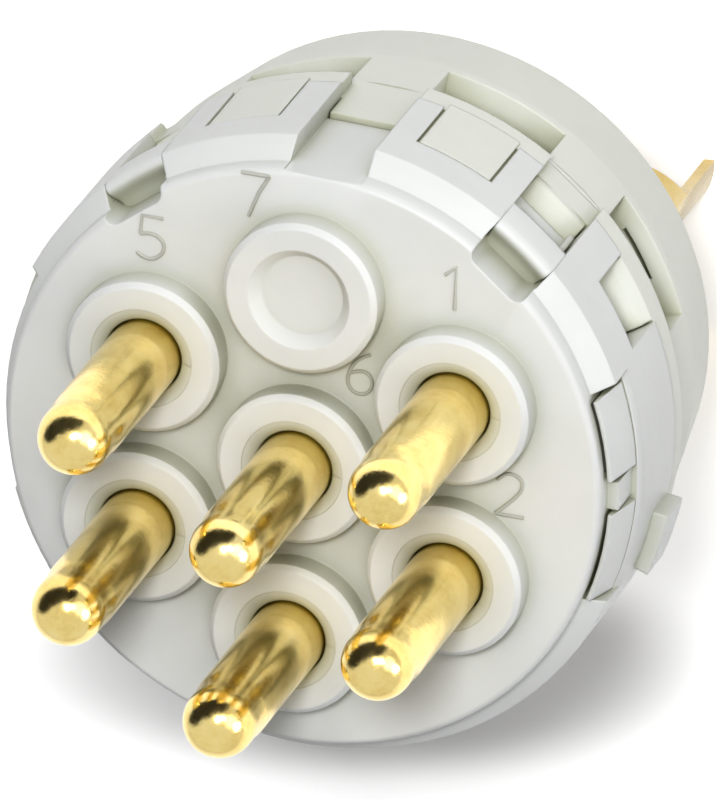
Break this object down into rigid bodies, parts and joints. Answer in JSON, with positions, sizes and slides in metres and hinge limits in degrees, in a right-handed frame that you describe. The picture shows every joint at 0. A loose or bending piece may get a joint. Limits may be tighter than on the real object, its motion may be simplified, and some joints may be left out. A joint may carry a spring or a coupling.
{
  "type": "connector contact insert",
  "caption": "Round two-part insulating insert with domed pin contacts on raised bosses, a snap-latched slotted rim and half-open solder cups behind.",
  "frame": {"origin": "on the insert's own axis, in the plane of the solder cups' ends, on which it stands", "axes": "+Z along the axis from the solder cups to the pin tips; +Y towards the closed contact position; +X to the right of it seen from the pins"},
  "size_m": [0.0178, 0.0172, 0.0236],
  "materials": {
    "front_plastic": "satin moulded",
    "rear_plastic": "satin moulded",
    "contact_gold": "polished plated"
  },
  "bodies": {
    "root": {"front_insulator": "front_plastic", "rear_insulator": "rear_plastic", "contact_1": "contact_gold", "contact_2": "contact_gold", "contact_3": "contact_gold", "contact_4": "contact_gold", "contact_5": "contact_gold", "contact_6": "contact_gold"}
  },
  "joints": []
}
